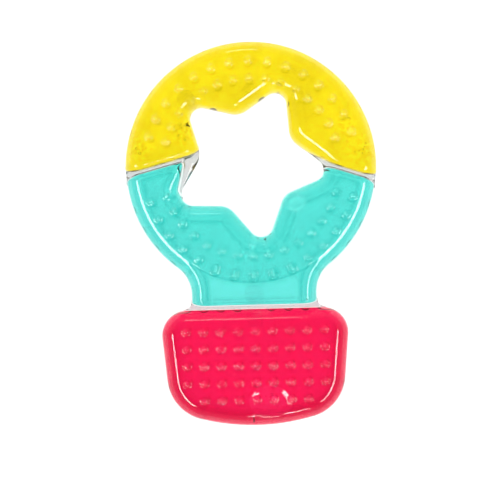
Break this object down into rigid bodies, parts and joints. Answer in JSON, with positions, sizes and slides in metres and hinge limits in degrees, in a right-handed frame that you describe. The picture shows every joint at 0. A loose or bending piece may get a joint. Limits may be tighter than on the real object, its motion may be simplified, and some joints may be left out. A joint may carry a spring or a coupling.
{
  "type": "teething ring",
  "caption": "Water-filled teething ring with a star-shaped finger hole, a short neck and a pot-shaped foot, in three coloured chambers with chewing nubs.",
  "frame": {"origin": "below the middle of the outline, on the plane the back face's nubs rest on", "axes": "+X right seen from the front, +Y from the pot-shaped foot to the ring's crown, +Z out of the front face"},
  "size_m": [0.078, 0.1192, 0.0156],
  "materials": {
    "clear_shell": "gloss",
    "yellow_water": "gloss",
    "teal_water": "gloss",
    "red_water": "gloss",
    "clear_plug": "satin"
  },
  "bodies": {
    "root": {"front_shell": "clear_shell", "back_shell": "clear_shell", "yellow_fill": "yellow_water", "teal_fill": "teal_water", "red_fill": "red_water", "yellow_fill_plug": "clear_plug", "teal_fill_plug": "clear_plug", "red_fill_plug": "clear_plug"}
  },
  "joints": []
}
